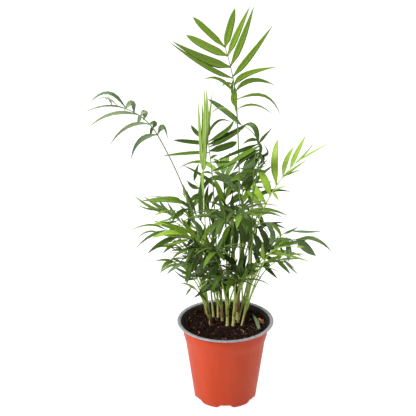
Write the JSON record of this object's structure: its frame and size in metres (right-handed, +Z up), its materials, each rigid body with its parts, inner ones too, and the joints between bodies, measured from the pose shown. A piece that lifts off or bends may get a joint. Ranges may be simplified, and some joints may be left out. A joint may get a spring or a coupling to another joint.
{
  "type": "potted parlour palm",
  "caption": "Young clump-forming indoor palm with feathery arching fronds on thin green canes, in a tapered plastic nursery pot filled with compost.",
  "frame": {"origin": "middle of the pot's flat underside", "axes": "+Z up along the pot's axis; -Y towards the viewer; the tall crown frond leans away and the grey arching frond reaches out along -X"},
  "size_m": [0.3283, 0.2743, 0.4945],
  "materials": {
    "pot": "satin",
    "compost": "matte",
    "cane": "satin",
    "leaf_dark": "satin",
    "leaf_mid": "satin",
    "leaf_bright": "satin",
    "leaf_grey": "satin"
  },
  "bodies": {
    "root": {"pot": "pot", "soil": "compost", "cane_a": "cane", "cane_b": "cane", "cane_c": "cane", "cane_d": "cane", "cane_e": "cane", "cane_f": "cane", "cane_g": "cane", "cane_h": "cane", "cane_i": "cane", "cane_j": "cane", "cane_k": "cane", "cane_l": "cane", "frond_a1": "leaf_grey", "frond_a2": "leaf_dark", "frond_a3": "leaf_mid", "frond_a4": "leaf_mid", "frond_b1": "leaf_bright", "frond_b2": "leaf_dark", "frond_c1": "leaf_dark", "frond_c2": "leaf_mid", "frond_c3": "leaf_mid", "frond_c4": "leaf_dark", "frond_c5": "leaf_dark", "frond_d1": "leaf_mid", "frond_d2": "leaf_bright", "frond_d3": "leaf_dark", "frond_d4": "leaf_mid", "frond_d5": "leaf_dark", "frond_e1": "leaf_mid", "frond_e2": "leaf_dark", "frond_e3": "leaf_mid", "frond_e4": "leaf_dark", "frond_e5": "leaf_dark", "frond_f1": "leaf_dark", "frond_f2": "leaf_dark", "frond_f3": "leaf_mid", "frond_f4": "leaf_mid", "frond_f5": "leaf_mid", "frond_g1": "leaf_mid", "frond_g2": "leaf_mid", "frond_g3": "leaf_dark", "frond_g4": "leaf_dark", "frond_h1": "leaf_bright", "frond_h2": "leaf_dark", "frond_h3": "leaf_dark", "frond_i1": "leaf_dark", "frond_i2": "leaf_bright", "frond_i3": "leaf_mid", "frond_j1": "leaf_mid", "frond_j2": "leaf_dark", "frond_j3": "leaf_mid", "frond_k1": "leaf_mid", "frond_k2": "leaf_dark", "frond_k3": "leaf_mid", "frond_l1": "leaf_mid", "frond_l2": "leaf_dark", "frond_l3": "leaf_mid"}
  },
  "joints": []
}
